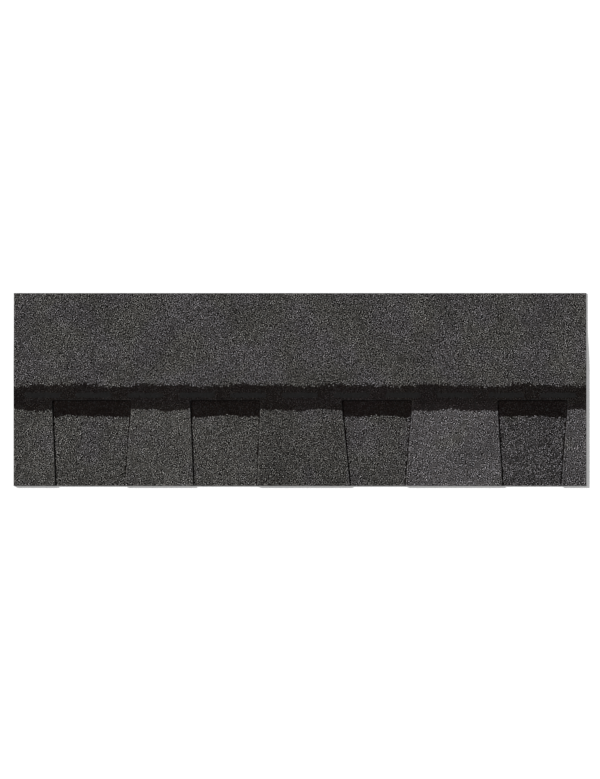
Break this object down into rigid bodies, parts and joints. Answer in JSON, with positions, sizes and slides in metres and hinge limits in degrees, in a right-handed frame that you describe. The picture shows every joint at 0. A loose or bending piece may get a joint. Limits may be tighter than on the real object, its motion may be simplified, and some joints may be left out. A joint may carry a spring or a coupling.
{
  "type": "laminated asphalt shingle",
  "caption": "Laminated asphalt roofing shingle: a granule-surfaced sheet with tapered tabs along its butt edge, bonded over a backer strip that shows in the cut-outs between them.",
  "frame": {"origin": "middle of the footprint, on the floor that the shingle lies on", "axes": "+X along the shingle, to the right as it is seen on a roof; +Y up the roof, from the butt edge to the top edge; +Z out of the weather face"},
  "size_m": [1, 0.337, 0.0066],
  "materials": {
    "granule_face": "matte",
    "granule_backer": "matte",
    "film": "satin",
    "sealant": "gloss"
  },
  "bodies": {
    "root": {"top_ply": "granule_face", "backer_ply": "granule_backer", "release_film": "film", "sealant_dash_01": "sealant", "sealant_dash_02": "sealant", "sealant_dash_03": "sealant", "sealant_dash_04": "sealant", "sealant_dash_05": "sealant", "sealant_dash_06": "sealant", "sealant_dash_07": "sealant", "sealant_dash_08": "sealant", "sealant_dash_09": "sealant", "sealant_dash_10": "sealant", "sealant_dash_11": "sealant"}
  },
  "joints": []
}
